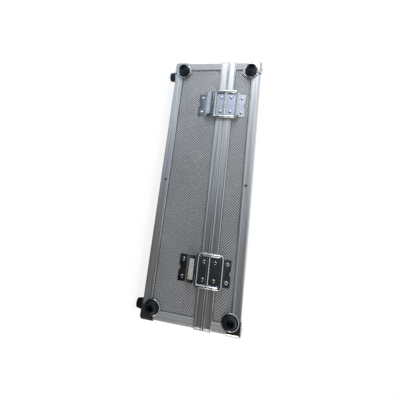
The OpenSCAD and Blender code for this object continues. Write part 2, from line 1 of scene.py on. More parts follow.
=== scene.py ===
# %% [markdown]
# An aluminium camera case, seen from its hinge side.
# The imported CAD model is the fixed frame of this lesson: every wall, profile, hinge and latch is
# already in its place and size. What is left for Blender is what the eye reads as material and
# wear, and the soft lining, which the CAD model only holds as plain blocks.

# %% Load the frame
import math
import bmesh
import bpy
from mathutils import Matrix, Vector


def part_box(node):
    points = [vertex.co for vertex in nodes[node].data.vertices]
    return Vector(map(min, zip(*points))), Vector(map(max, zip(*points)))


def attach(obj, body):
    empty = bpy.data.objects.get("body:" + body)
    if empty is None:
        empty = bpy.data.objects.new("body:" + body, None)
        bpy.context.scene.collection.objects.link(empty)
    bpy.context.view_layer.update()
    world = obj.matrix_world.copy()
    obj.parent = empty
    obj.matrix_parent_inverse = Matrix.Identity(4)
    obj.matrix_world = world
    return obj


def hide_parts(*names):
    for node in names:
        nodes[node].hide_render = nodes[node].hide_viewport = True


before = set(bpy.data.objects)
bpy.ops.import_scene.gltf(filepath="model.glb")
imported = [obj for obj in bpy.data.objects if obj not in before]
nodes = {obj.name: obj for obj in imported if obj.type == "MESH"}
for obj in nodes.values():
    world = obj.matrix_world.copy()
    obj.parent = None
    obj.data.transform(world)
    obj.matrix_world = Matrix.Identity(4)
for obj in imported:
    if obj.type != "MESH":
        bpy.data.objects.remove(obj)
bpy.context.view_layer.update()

mm = 0.001

# %% [markdown]
# The camera comes first. The case was photographed with its length upright in the picture, so the
# camera is rolled a quarter turn: the picture's right is the case's up, and the picture's top is
# the case's right end. A place and two directions say all of it. Angles could say it too, but the
# directions show better what the camera does.

# %% Camera
def placed(name, data):
    """A new object in the scene."""
    obj = bpy.data.objects.new(name, data)
    bpy.context.scene.collection.objects.link(obj)
    return obj

def make_camera(place, right, back):
    """Stands at place; right and back are its own directions, and up follows from them."""
    data = bpy.data.cameras.new("camera")
    data.sensor_width, data.lens = 36.0, 27.0
    data.shift_x, data.shift_y = 0.0730, -0.0600
    data.clip_start, data.clip_end = 0.01, 50.0
    cam = placed("camera", data)
    turn = Matrix((right, back.cross(right), back)).transposed()
    cam.matrix_world = Matrix.Translation(place) @ turn.to_4x4()
    bpy.context.scene.camera = cam
    return cam

camera = make_camera(place=(-0.1065, 0.6460, 0.1543),
                     right=Vector((0.13362, -0.21920, 0.96649)),
                     back=Vector((-0.22217, 0.94379, 0.24476)))
print("camera at", [round(c, 3) for c in camera.location])

# %% [markdown]
# A few small helpers carry the whole lesson. Colours are picked as sRGB hex values, the way a
# picture editor shows them, and Blender calculates in linear light, so one function converts
# them. Another adds one node with all that it is given, so that a material reads like a list.
# The rest name the steps that most materials share: a sum, a noise, a range, a mix of colours.

# %% Helpers for colours and nodes
def linear(code):
    parts = [int(code[i:i + 2], 16) / 255 for i in (1, 3, 5)]
    return (*[c / 12.92 if c <= 0.04045 else ((c + 0.055) / 1.055) ** 2.4 for c in parts], 1.0)

def add(tree, kind, given=()):
    """One node. It is given properties, values for its inputs, or sockets that feed them."""
    n = tree.nodes.new(kind)
    given = dict(given)
    # A property, such as a data type, can change which inputs there are, so it is set first.
    for key in [k for k in given if isinstance(k, str) and hasattr(n, k)]:
        setattr(n, key, given.pop(key))
    for key, value in given.items():
        if isinstance(value, bpy.types.NodeSocket):
            tree.links.new(value, n.inputs[key])
        else:
            n.inputs[key].default_value = value
    return n

def made(tree, kind, given=()):
    """The first output of a new node."""
    return add(tree, kind, given).outputs[0]

def maths(tree, operation, *values):
    """A sum reads easier as a call: each value is a number or a socket."""
    return made(tree, "ShaderNodeMath", {"operation": operation, **dict(enumerate(values))})

def noise(tree, place, scale, detail=2.0, roughness=0.5):
    """Cloudy noise; the scale is in blotches per metre."""
    return made(tree, "ShaderNodeTexNoise",
                {"Vector": place, "Scale": scale, "Detail": detail, "Roughness": roughness})

def grain_cells(tree, place, scale, feature="F1"):
    """Distance from the middle of each cell, or from its edge; the scale is in cells per metre."""
    return made(tree, "ShaderNodeTexVoronoi",
                {"feature": feature, "Vector": place, "Scale": scale})

def ranged(tree, value, low, high, new_low=0.0, new_high=1.0):
    """Moves a value from one range into another and holds it there."""
    ends = {"From Min": low, "From Max": high, "To Min": new_low, "To Max": new_high}
    return made(tree, "ShaderNodeMapRange", {"Value": value, **ends})

def ramp(tree, share, stops):
    """Colours along a share from 0 to 1: stops lists (place, colour)."""
    n = add(tree, "ShaderNodeValToRGB", {0: share})
    while len(n.color_ramp.elements) < len(stops):
        n.color_ramp.elements.new(0.5)
    for e, (at, code) in zip(n.color_ramp.elements, stops):
        e.position, e.color = at, linear(code)
    return n.outputs[0]

def mixed(tree, share, first, second):
    """The first colour where share is 0 and the second where it is 1."""
    given = {"data_type": "RGBA", 0: share, 6: linear(first), 7: linear(second)}
    return add(tree, "ShaderNodeMix", given).outputs[2]

def shaded(tree, colour, shade):
    """A colour, given as hex or as a socket, multiplied by a shade."""
    first = linear(colour) if isinstance(colour, str) else colour
    given = {"data_type": "RGBA", "blend_type": "MULTIPLY", 0: 1.0, 6: first, 7: shade}
    return add(tree, "ShaderNodeMix", given).outputs[2]

def empty_material(name):
    """A material without nodes: returns the material and its tree."""
    m = bpy.data.materials.new(name)
    m.use_nodes = True
    m.node_tree.nodes.clear()
    return m, m.node_tree

def new_material(name, colour, **shader):
    """A material with a Principled shader: returns it, its tree, its shader and its coordinates."""
    m, t = empty_material(name)
    s = add(t, "ShaderNodeBsdfPrincipled", {"Base Color": linear(colour), **shader})
    add(t, "ShaderNodeOutputMaterial", {"Surface": s.outputs[0]})
    m.diffuse_color = linear(colour)
    return m, t, s, add(t, "ShaderNodeTexCoord").outputs["Object"]

def wire(tree, shader, colour, rough, height, strength, depth):
    """Feeds a shader its colour, its roughness, which may be None, and a bump."""
    bump = made(tree, "ShaderNodeBump", {"Strength": strength, "Distance": depth, "Height": height})
    for name, source in (("Base Color", colour), ("Roughness", rough), ("Normal", bump)):
        if source is not None:
            tree.links.new(source, shader.inputs[name])

print("helpers ready; mid grey #808080 is", round(linear("#808080")[0], 4), "in linear light")

# %% [markdown]
# The case stands on a plain pale floor. Camera, glossy and transmission rays see the world as
# white, and all other rays get a softer grey, so that the background is white without more light
# on the case. The floor is part lit surface and part glow: lit alone it would look grey, and
# glowing alone it would lose the case's shadow.

# %% Floor and world
world_level = 0.49
floor_half = 4.0
# Where the floor is seen directly, this share of its lit surface gives way to this much glow.
glow_share, glow_level = 0.60, 0.86

def seen_directly(tree):
    """1 for camera, glossy and transmission rays, 0 for the rays that carry light."""
    path = add(tree, "ShaderNodeLightPath").outputs
    either = maths(tree, "MAXIMUM", path["Is Camera Ray"], path["Is Glossy Ray"])
    return maths(tree, "MAXIMUM", either, path["Is Transmission Ray"])

def make_world():
    w = bpy.data.worlds.new("world")
    w.use_nodes = True
    t = w.node_tree
    t.nodes.clear()
    soft = made(t, "ShaderNodeBackground", {"Color": linear("#f4f6fa"), "Strength": world_level})
    white = made(t, "ShaderNodeBackground", {"Color": (1, 1, 1, 1), "Strength": 1.0})
    mix = made(t, "ShaderNodeMixShader", {0: seen_directly(t), 1: soft, 2: white})
    add(t, "ShaderNodeOutputWorld", {"Surface": mix})
    bpy.context.scene.world = w

def staged_sheet(name, corners, material):
    """A flat sheet that belongs to the scene's stage, not to the case."""
    mesh = bpy.data.meshes.new(name)
    mesh.from_pydata(corners, [], [(0, 1, 2, 3)])
    mesh.materials.append(material)
    sheet = placed(name, mesh)
    return sheet

def make_floor():
    m, t = empty_material("floor_paper")
    seen = seen_directly(t)
    lit = made(t, "ShaderNodeBsdfDiffuse", {"Color": linear("#f2f2f0")})
    part = made(t, "ShaderNodeMixShader", {0: maths(t, "MULTIPLY", seen, glow_share), 1: lit})
    level = maths(t, "MULTIPLY", seen, glow_level)
    glow = made(t, "ShaderNodeEmission", {"Color": (1, 1, 1, 1), "Strength": level})
    both = made(t, "ShaderNodeAddShader", {0: part, 1: glow})
    add(t, "ShaderNodeOutputMaterial", {"Surface": both})
    s = floor_half
    floor = staged_sheet("floor", [(-s, -s, 0), (s, -s, 0), (s, s, 0), (-s, s, 0)], m)
    # Glossy rays pass through the floor to the lying card, which paints the floor's reflection.
    floor.visible_glossy = False
    return floor

make_world()
floor = make_floor()
bpy.context.scene.view_settings.view_transform = "Standard"
print("floor is", round(floor.dimensions.x, 1), "m wide")

# %% [markdown]
# The light in the photograph comes from a window past the case's right end: the metal there is
# nearly white, and it fades to a dark grey at the other end. Three weak lamps light the rubber and
# the embossed sheet. Metal shows what is around it instead, so two cards with fading colours, one
# standing behind the camera and one just under the floor, are there for glossy rays alone.

# %% Lamps and the fading cards
def make_lamp(name, place, target, size, power, colour):
    """A soft lamp of a width and height in metres, aimed at a target."""
    data = bpy.data.lights.new(name, "AREA")
    data.shape, data.size, data.size_y = "RECTANGLE", *size
    data.energy, data.color = power, linear(colour)[:3]
    lamp = placed(name, data)
    aim = (Vector(target) - Vector(place)).to_track_quat("-Z", "Y")
    lamp.matrix_world = Matrix.Translation(place) @ aim.to_matrix().to_4x4()
    return lamp

lamps = [
    make_lamp("window", (0.86, 0.74, 0.10), (0.10, 0.12, 0.07), (0.50, 0.16), 1.8, "#f4f8ff"),
    make_lamp("bounce", (-0.90, 0.66, 0.12), (-0.14, 0.17, 0.06), (0.35, 0.16), 1.0, "#fff0e2"),
    make_lamp("fill", (-0.60, -0.90, 0.90), (0.0, 0.0, 0.08), (0.8, 0.8), 5.0, "#fffaf4"),
]

def make_card(name, corners, fades):
    """A glowing sheet that only glossy rays see. Each fade has an axis, and colours at places
    along it, in metres."""
    m, t = empty_material(name + "_glow")
    place = add(t, "ShaderNodeTexCoord").outputs["Object"]
    axes = add(t, "ShaderNodeSeparateXYZ", {0: place}).outputs
    shown = None
    for axis, stops in fades:
        low, high = stops[0][0], stops[-1][0]
        share = ranged(t, axes[axis], low, high)
        fade = ramp(t, share, [((at - low) / (high - low), code) for at, code in stops])
        shown = fade if shown is None else shaded(t, shown, fade)
    glow = made(t, "ShaderNodeEmission", {"Strength": 1.0, "Color": shown})
    add(t, "ShaderNodeOutputMaterial", {"Surface": glow})
    card = staged_sheet(name, corners, m)
    card.visible_camera = card.visible_diffuse = False
    card.visible_shadow = card.visible_transmission = False
    return card

# The cards' colours are painted reflections: bright towards the case's right end, dark towards its
# left, bluish just above the floor, and with a dark band across the lying card.
left, right, near, far, under, top = -1.7, 1.9, -0.9, 1.25, -0.01, 1.6
cards = [
    make_card("upright_card",
              [(left, far, under), (right, far, under), (right, far, top), (left, far, top)],
              [("X", [(-0.6, "#292826"), (-0.1, "#3b3a36"), (0.2, "#878b8e"), (0.45, "#d6dce2"),
                      (0.7, "#f6fafe"), (1.1, "#ffffff")]),
               ("Z", [(-0.01, "#b4c8ee"), (0.02, "#b4c8ee"), (0.05, "#e9f1ff"),
                      (0.2, "#ffffff")])]),
    make_card("lying_card",
              [(left, near, under), (right, near, under), (right, far, under), (left, far, under)],
              [("X", [(-0.6, "#292826"), (-0.14, "#454440"), (0.0, "#888c8f"), (0.16, "#dfe5eb"),
                      (0.3, "#ffffff")]),
               ("Y", [(-0.85, "#a0a0a0"), (0.16, "#e6ecf5"), (0.31, "#d6dde6"), (0.41, "#27313a"),
                      (0.58, "#27313a"), (0.70, "#8d949c"), (1.20, "#dfe6f2")])]),
]
print("lamps:", [(o.name, round(o.data.energy, 1)) for o in lamps], "cards:", len(cards))

# %% [markdown]
# The walls are sheet embossed with fine diamonds by a patterned roller, then laid on board. The
# eye sees two sets of crossing lines and a fine grain. The lines could be real geometry, but
# hundreds of thousands of facets would show no more than a bump does at this scale. On the real
# sheet they are about 2.7 mm apart, which is finer than the render can show, so they are drawn
# 3 mm apart. Each wall is darkened in the last two millimetres of its visible window along the
# profiles: a painted shadow of the proud profiles, with some dust.

# %% Embossed sheet for the walls
diamond_pitch = 3.0 * mm
border = 14.5 * mm          # from the case's outside to where a wall shows beside its profile
profile_wall = 1.2 * mm     # the edge profiles reach this far past the top and bottom panels
rim_lap = 0.6 * mm          # the rims lap this far over the walls
case_low, case_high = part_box("base_posts")[0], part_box("lid_posts")[1]
case_low.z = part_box("base_bottom_panel")[0].z - profile_wall
case_high.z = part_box("lid_top_panel")[1].z + profile_wall
windows = {
    "base": (case_low.z + border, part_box("base_rim_long")[0].z + rim_lap),
    "lid": (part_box("lid_rim_long")[1].z - rim_lap, case_high.z - border),
    "X": (case_low.x + border, case_high.x - border),
    "Y": (case_low.y + border, case_high.y - border),
}

def embossed_sheet(name, across, upward, window):
    """Sheet in one plane of the case: its two axes, and its visible window on the second."""
    m, t, s, place = new_material(name, "#9a9ea2", Metallic=0.35, Roughness=0.38)
    axes = add(t, "ShaderNodeSeparateXYZ", {0: place}).outputs
    turn = 2 * math.pi / (diamond_pitch * math.sqrt(2))
    lines = [maths(t, way, axes[across], axes[upward]) for way in ("ADD", "SUBTRACT")]
    one, two = [maths(t, "COSINE", maths(t, "MULTIPLY", line, turn)) for line in lines]
    height = maths(t, "MULTIPLY_ADD", maths(t, "ADD", one, two), 0.25, 0.5)
    # Handling leaves the sheet slightly cloudy. The grooves are painted darker and the ridges
    # lighter: painted shade and highlight of the relief.
    cloud = noise(t, place, 14.0, 4.0, 0.6)
    grain = noise(t, place, 900.0)
    tone = ramp(t, height, [(0.2, "#5d6165"), (0.8, "#e6e8ea")])
    haze = ranged(t, cloud, 0.3, 0.7, 0.88, 1.06)

    def inside(axis, low, high):
        """How far a point lies inside a range of one axis."""
        off_middle = maths(t, "ABSOLUTE", maths(t, "SUBTRACT", axes[axis], (high + low) / 2))
        return maths(t, "SUBTRACT", (high - low) / 2, off_middle)

    # Near the profiles the wall is darkened: painted shadow of the proud profiles, with some dust,
    # made uneven by the cloud.
    depth = maths(t, "MINIMUM", inside(across, *windows[across]), inside(upward, *window))
    uneven = maths(t, "MULTIPLY_ADD", cloud, 2.0 * mm, depth)
    dust_and_painted_shadow = ranged(t, uneven, 1.4 * mm, 3.4 * mm, 0.30, 1.0)
    relief = maths(t, "MULTIPLY_ADD", grain, 0.2, height)
    wire(t, s, shaded(t, tone, maths(t, "MULTIPLY", haze, dust_and_painted_shadow)),
         ranged(t, cloud, 0.0, 1.0, 0.32, 0.46), relief, 0.8, 0.4 * mm)
    return m

sheets = {kind: embossed_sheet("embossed_aluminium_" + kind, across, upward, windows[window])
          for kind, across, upward, window in (
              ("base_long", "X", "Z", "base"), ("lid_long", "X", "Z", "lid"),
              ("base_end", "Y", "Z", "base"), ("lid_end", "Y", "Z", "lid"),
              ("flat", "X", "Y", "Y"))}
print("diamond lines every", diamond_pitch / mm, "mm; windows in mm:",
      {k: [round(v / mm, 1) for v in w] for k, w in windows.items()})

# %% [markdown]
# The edge profiles and the closing rims are extruded aluminium, anodised in a satin silver. The
# die leaves fine lines along each bar, so the bar looks brushed along its length. Each bar's
# lines follow its own direction, which is why there is one material for each. The lines are drawn
# coarser than real ones, so that the render can show them.

# %% Anodised extrusions
die_pitch, die_length = 2.2 * mm, 160 * mm

def anodised_bar(name, axis, colour, metal, rough_low, rough_high, seed):
    """Satin anodised aluminium with die lines along one axis."""
    m, t, s, place = new_material(name, colour, Metallic=metal, Roughness=0.36)
    scale = [1 / die_pitch] * 3
    scale["XYZ".index(axis)] = 1 / die_length
    start = (seed, seed * 2, seed * 3)
    lines = made(t, "ShaderNodeMapping", {"Vector": place, "Scale": scale, "Location": start})
    die = noise(t, lines, 1.0, 3.0, 0.65)
    cloud = noise(t, place, 22.0, 5.0, 0.6)
    rough = ranged(t, maths(t, "MULTIPLY_ADD", cloud, 0.6, die), 0.4, 1.1, rough_low, rough_high)
    wire(t, s, shaded(t, colour, ranged(t, die, 0.3, 0.7, 0.64, 1.10)), rough, die, 0.5, 0.15 * mm)
    return m

edge_bar = {a: anodised_bar("anodised_edge_" + a.lower(), a, "#e4e7e9", 0.80, 0.34, 0.48, 1.7)
            for a in "XY"}
# The posts' lines stand across the light and spread it, so a post looks more matt than a long bar.
edge_bar["Z"] = anodised_bar("anodised_edge_z", "Z", "#d2d5d7", 0.45, 0.44, 0.58, 1.7)
rim_bar = {a: anodised_bar("anodised_rim_" + a.lower(), a, "#e2e5e6", 0.92, 0.30, 0.42, 5.3)
           for a in "XY"}
print("bars:", [m.name for m in (*edge_bar.values(), *rim_bar.values())])

# %% [markdown]
# The corners, hinges, latches and handle are pressed or bent steel with a bright chrome plating.
# Chrome is a mirror with a faint haze, broken by finger marks and by the slight waviness that
# pressing leaves. The rivets are plain nickel-plated steel, a little duller. The blind rivets are
# also painted a darker grey: painted shade.

# %% Plated steel
def plated_steel(name, colour, rough, wave, seed):
    """Bright plated steel; wave is the pressing's unevenness, in mm over about 12 mm."""
    m, t, s, place = new_material(name, colour, Metallic=1.0, Roughness=rough)
    moved = made(t, "ShaderNodeMapping", {"Vector": place, "Location": (seed, seed, seed)})
    smudge = noise(t, moved, 1 / (16 * mm), 3.0)
    uneven = noise(t, moved, 1 / (12 * mm), 0.0)
    haze = ranged(t, smudge, 0.35, 0.7, rough, rough + 0.10)
    tone = shaded(t, colour, ranged(t, smudge, 0.3, 0.75, 1.0, 0.84))
    wire(t, s, tone, haze, uneven, 1.0, wave * mm)
    return m

corner_chrome = plated_steel("chromed_steel_corner", "#c8cbcd", 0.18, 0.10, 0.3)
hinge_chrome = plated_steel("chromed_steel_hinge", "#dfe3e8", 0.13, 0.08, 1.1)
stay_chrome = plated_steel("chromed_steel_rod", "#d2d5d9", 0.08, 0.10, 2.9)
pin_steel = plated_steel("ground_steel_pin", "#b4b6b8", 0.22, 0.05, 3.4)
latch_chrome = plated_steel("chromed_steel_latch", "#cbced1", 0.16, 0.06, 4.2)
lock_nickel = plated_steel("nickelled_brass_lock", "#c2bdb2", 0.16, 0.12, 5.6)
handle_chrome = plated_steel("chromed_steel_handle", "#cbced1", 0.10, 0.20, 6.1)
# The blind rivets' dark colour is painted shade; only their roughness makes them duller.
rivet_dull_painted_dark = plated_steel("dull_painted_dark_steel_rivet", "#85898d", 0.20, 0.05, 7.7)
rivet_bright = plated_steel("nickelled_steel_rivet", "#e2e4e6", 0.14, 0.05, 9.4)
screw_black = plated_steel("blackened_steel_screw", "#3b444d", 0.30, 0.10, 8.8)
print("plated:", len([m for m in bpy.data.materials if "steel" in m.name]), "steels and a brass")

# %% [markdown]
# The feet are moulded rubber, blue-black with a dull shine, and a little grey where they rub. Their
# blue tint and paler blue-grey patches are also partly a painted sheen. The grip is moulded plastic
# with a leather-like grain from its mould.

# %% Rubber and plastic
def moulded(name, colour, worn, rough, grain_mm, depth_mm):
    """Moulded rubber or plastic: a grain from the mould, and paler where rubbed; on the feet that
    is partly painted sheen.
    """
    m, t, s, place = new_material(name, colour, Roughness=rough, IOR=1.5,
                                  **{"Specular IOR Level": 0.35})
    grain = grain_cells(t, place, 1 / (grain_mm * mm), "DISTANCE_TO_EDGE")
    rub = noise(t, place, 1 / (7 * mm), 5.0, 0.65)
    wire(t, s, mixed(t, ranged(t, rub, 0.52, 0.72), colour, worn),
         ranged(t, rub, 0.0, 1.0, rough - 0.06, rough + 0.16), grain, 0.6, depth_mm * mm)
    return m

# The feet's blue tint and paler blue-grey are partly painted sheen over the rubber's own navy.
foot_rubber = moulded("moulded_rubber_foot", "#111d29", "#2a3f54", 0.42, 0.9, 0.05)
grip_plastic = moulded("grained_plastic_grip", "#1c1d1f", "#2b2c2e", 0.46, 1.6, 0.16)
print("moulded:", foot_rubber.name, grip_plastic.name)

# %% [markdown]
# Inside, the walls and the lid are charcoal polyurethane foam: open cells that swallow the light.
# The dividers are foam slabs in a knitted loop cloth that the closures grip, soft and slightly
# fuzzy, with a sheen at its edges.

# %% Foam and loop cloth
def open_foam(name, colour, cell_mm):
    """Foam with open cells: each cell is darker inside than on its rim."""
    m, t, s, place = new_material(name, colour, Roughness=0.95,
                                  **{"Sheen Weight": 0.25, "Sheen Roughness": 0.6})
    cells = grain_cells(t, place, 1 / (cell_mm * mm))
    patch = noise(t, place, 1 / (40 * mm), 3.0)
    # Each cell's hollow is painted darker than its rim: painted shade. The patch noise is the
    # foam's own uneven tone.
    shade = maths(t, "MULTIPLY_ADD", patch, 0.5, ranged(t, cells, 0.1, 0.7, 0.55, 1.3))
    wire(t, s, shaded(t, colour, shade), None, cells, 0.8, 0.5 * mm)
    return m

def loop_cloth(name, colour, light, thread_mm):
    """Knitted loops with a fuzz of light fibres over them, thinner where it is worn."""
    m, t, s, place = new_material(name, colour, Roughness=0.88,
                                  **{"Sheen Weight": 0.5, "Sheen Roughness": 0.45})
    wales = grain_cells(t, place, 1 / (thread_mm * mm))
    fuzz = noise(t, place, 1 / (0.35 * mm), 3.0)
    worn = noise(t, place, 1 / (30 * mm), 4.0)
    nap = maths(t, "MULTIPLY_ADD", fuzz, 0.7, wales)
    light_share = maths(t, "MULTIPLY_ADD", worn, 0.35, ranged(t, nap, 0.2, 1.1))
    wire(t, s, mixed(t, light_share, colour, light), None, nap, 0.7, 0.35 * mm)
    return m

foam_grey = open_foam("polyurethane_foam", "#3b3c40", 1.2)
divider_cloth = loop_cloth("knitted_loop_cloth", "#303237", "#5d6068", 0.9)
print("soft materials:", foam_grey.name, divider_cloth.name)

# %% [markdown]
# Each CAD node now takes its finish. A node's mesh stays as it is, and only the material in its
# slot changes. The bars take the variant that runs along them.

# %% Finishes on the CAD nodes
def on_both(kind):
    return ["base_" + kind, "lid_" + kind]

finishes = {
    sheets["flat"]: ["base_bottom_panel", "lid_top_panel"],
    **{sheets[body + "_" + walls]: [body + "_" + side + "_panel" for side in sides]
       for walls, sides in (("long", ("front", "back")), ("end", ("left", "right")))
       for body in ("base", "lid")},
    edge_bar["X"]: on_both("long_edges"),
    edge_bar["Y"]: on_both("short_edges"),
    edge_bar["Z"]: on_both("posts"),
    rim_bar["X"]: on_both("rim_long"),
    rim_bar["Y"]: on_both("rim_short"),
    corner_chrome: on_both("corners"),
    foot_rubber: on_both("feet"),
    screw_black: on_both("foot_screws"),
    rivet_dull_painted_dark: on_both("rivets"),
    rivet_bright: ["hinge_base_rivets", "hinge_lid_rivets", "latch_keeper_rivets",
                   "latch_mount_rivets", "handle_bracket_rivets"],
    hinge_chrome: ["hinge_base_leaves", "hinge_lid_leaves"],
    pin_steel: ["hinge_pins", "latch_pins"],
    stay_chrome: ["left_stay_ring", "right_stay_ring"],
    latch_chrome: ["left_latch_lever", "right_latch_lever", "latch_keepers", "latch_mounts"],
    lock_nickel: ["left_lock_barrel", "right_lock_barrel"],
    handle_chrome: ["handle_bail", "handle_brackets"],
    grip_plastic: ["handle_grip"],
    foam_grey: ["foam_floor", "foam_walls", "lid_foam"],
    divider_cloth: ["long_divider", "cross_dividers"],
}
for finish, names in finishes.items():
    for name in names:
        nodes[name].data.materials.clear()
        nodes[name].data.materials.append(finish)
bare = sorted(set(nodes) - {n for names in finishes.values() for n in names})
print("finished", sum(len(v) for v in finishes.values()), "nodes; without a finish:", bare)

# %% [markdown]
# The lining is soft, so it isn't left as blocks. A cut foam slab has rounded edges and faces that
# swell a little where nothing presses on them. Foam this stiff hardly moves, so a rule does here
# what a simulation could: a fine box whose faces sink towards their edges, kept inside the space
# of its CAD block.

# %% A soft slab
def to_mesh(bm, name):
    """Turns a bmesh into a mesh and frees it."""
    mesh = bpy.data.meshes.new(name)
    bm.to_mesh(mesh)
    bm.free()
    return mesh

def soft_slab(bm, low, high, edge, crown, cell):
    """Adds one slab to bm. Its faces stand at low and high in their middle and sink by crown
    towards their edges, which are rounded by edge."""
    mid, half = (low + high) / 2, (high - low) / 2
    part = bmesh.new()
    counts = [max(2, round(2 * h / cell)) for h in half]
    for axis in range(3):
        a, b = [i for i in range(3) if i != axis]
        for side in (-1, 1):
            grid = {}
            for i in range(counts[a] + 1):
                for j in range(counts[b] + 1):
                    p = [0.0, 0.0, 0.0]
                    p[axis] = side * half[axis]
                    p[a] = half[a] * (2 * i / counts[a] - 1)
                    p[b] = half[b] * (2 * j / counts[b] - 1)
                    grid[i, j] = part.verts.new(p)
            for i in range(counts[a]):
                for j in range(counts[b]):
                    part.faces.new((grid[i, j], grid[i + 1, j], grid[i + 1, j + 1], grid[i, j + 1]))
    bmesh.ops.remove_doubles(part, verts=part.verts, dist=1e-6)
    for v in part.verts:
        share = Vector([v.co[k] / half[k] for k in range(3)])
        core = Vector([max(-(half[k] - edge), min(half[k] - edge, v.co[k])) for k in range(3)])
        away = v.co - core
        place = core + away.normalized() * edge if away.length > 1e-9 else v.co.copy()
        for k in range(3):
            if abs(share[k]) > 0.999:
                a, b = [i for i in range(3) if i != k]
                swell = (1 - share[a] ** 4) * (1 - share[b] ** 4)
                place[k] -= math.copysign(crown * (1 - swell), share[k])
        v.co = mid + place
    bmesh.ops.recalc_face_normals(part, faces=part.faces)
    mesh = to_mesh(part, "part")
    bm.from_mesh(mesh)
    bpy.data.meshes.remove(mesh)

def piece_from(name, mesh, body, slot, *replaced, fill=None):
    """Makes a mesh a piece that rides on a body. It may stand for CAD nodes. Its fill is not used.
    """
    for p in mesh.polygons:
        p.use_smooth = True
    piece = placed(name, mesh)
    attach(piece, body)
    if replaced:
        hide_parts(*replaced)
    return piece

def node_islands(name):
    """Boxes of a CAD node's separate solids, from a merged copy of its mesh."""
    bm = bmesh.new()
    bm.from_mesh(nodes[name].data)
    bmesh.ops.remove_doubles(bm, verts=bm.verts, dist=1e-5)
    left, boxes = set(bm.verts), []
    while left:
        stack, found = [left.pop()], []
        while stack:
            v = stack.pop()
            found.append(v.co.copy())
            for e in v.link_edges:
                o = e.other_vert(v)
                if o in left:
                    left.remove(o)
                    stack.append(o)
        boxes.append((Vector([min(c[k] for c in found) for k in range(3)]),
                      Vector([max(c[k] for c in found) for k in range(3)])))
    bm.free()
    return sorted(boxes, key=lambda b: tuple(round(c, 5) for c in b[0]))

print("walls in the CAD model:", len(node_islands("foam_walls")))

# %% Foam on the floor and walls
def foam_slabs(piece_name, node_name, edge, crown, cell):
    bm = bmesh.new()
    boxes = node_islands(node_name)
    for low, high in boxes:
        soft_slab(bm, low, high, edge, crown, cell)
    mesh = to_mesh(bm, piece_name)
    mesh.materials.append(foam_grey)
    piece_from(piece_name, mesh, "base", "foam", node_name, fill=0.8)
    print(piece_name, "has", len(boxes), "slabs and", len(mesh.polygons), "faces")

foam_slabs("floor_foam_pad", "foam_floor", 2.5 * mm, 0.6 * mm, 6 * mm)
foam_slabs("wall_foam_pads", "foam_walls", 4.0 * mm, 1.0 * mm, 5 * mm)

# %% [markdown]
# The dividers are padded cloth, and here a rule isn't enough: cloth that is sewn along one line and
# held along its foot swells in its own way in between. So each divider is simulated. It starts
# thinner than its CAD block. The sewn line, the foot and the two ends are pinned, and a little air
# pressure fills the rest. Every point may move by the swell at most, so the result stays inside
# the block's space. One subdivision then smooths it.

# %% Padded dividers
seam_drop = 8.0 * mm        # the sewn line lies this far under a divider's top
swell = 1.3 * mm            # the most that the cloth may move, and the room that it starts with
pad_cell, pad_edge, pad_inset = 4.0 * mm, 2.4 * mm, 0.4 * mm
air_pressure, air_frames = 4.0, 20

def applied(obj):
    """The object's mesh with its modifiers worked in; the object and its modifiers are removed."""
    bpy.context.view_layer.update()
    mesh = bpy.data.meshes.new_from_object(obj.evaluated_get(bpy.context.evaluated_depsgraph_get()))
    bpy.data.objects.remove(obj)
    return mesh

def filled_with_air(mesh, pins):
    """Places of the mesh's points after the cloth has swollen."""
    cloth_object = placed("cloth", mesh)
    cloth_object.vertex_groups.new(name="held").add(pins, 1.0, "REPLACE")
    c = cloth_object.modifiers.new("cloth", "CLOTH").settings
    c.quality, c.mass, c.vertex_group_mass = 6, 0.3, "held"
    c.tension_stiffness = c.compression_stiffness = 12
    c.shear_stiffness, c.bending_stiffness = 4, 0.4
    c.use_pressure, c.uniform_pressure_force = True, air_pressure
    c.effector_weights.gravity = 0
    for f in range(1, air_frames + 1):
        bpy.context.scene.frame_set(f)
    swollen = cloth_object.evaluated_get(bpy.context.evaluated_depsgraph_get()).to_mesh()
    places = [v.co.copy() for v in swollen.vertices]
    bpy.data.objects.remove(cloth_object)
    bpy.context.scene.frame_set(1)
    return places

def long_and_thin(low, high):
    """The axis that a divider runs along and the axis across it, as numbers."""
    return (0, 1) if high.x - low.x > high.y - low.y else (1, 0)

def sewn_pad(low, high):
    """One divider: a thin soft slab whose cloth is filled with air and then smoothed."""
    long, thin = long_and_thin(low, high)
    inset = Vector((pad_inset, pad_inset, pad_inset))
    inset[thin] = swell
    start = bmesh.new()
    soft_slab(start, low + inset, high - inset, pad_edge, 0.0, pad_cell)
    mesh = to_mesh(start, "pad")
    seam_z = high.z - pad_inset - seam_drop
    pins = [v.index for v in mesh.vertices
            if abs(v.co.z - seam_z) < 0.6 * mm or v.co.z < low.z + 1.0 * mm
            or min(v.co[long] - low[long], high[long] - v.co[long]) < 1.0 * mm]
    furthest = 0.0
    for v, place in zip(mesh.vertices, filled_with_air(mesh.copy(), pins)):
        move = place - v.co
        if move.length > 1e-7:
            v.co += move.normalized() * swell * math.tanh(move.length / swell)
        v.co = Vector([min(max(v.co[k], low[k]), high[k]) for k in range(3)])
        furthest = max(furthest, move.length)
    pad = placed("pad", mesh)
    pad.modifiers.new("smooth", "SUBSURF").levels = 1
    return applied(pad), furthest

def sewn_pads(piece_name, node_name):
    bm = bmesh.new()
    for low, high in node_islands(node_name):
        mesh, furthest = sewn_pad(low, high)
        bm.from_mesh(mesh)
        bpy.data.meshes.remove(mesh)
        print(piece_name, "swelled by", round(furthest / mm, 2), "mm before the cap")
    mesh = to_mesh(bm, piece_name)
    mesh.materials.append(divider_cloth)
    return piece_from(piece_name, mesh, "base", "divider_cloth", node_name, fill=0.7)

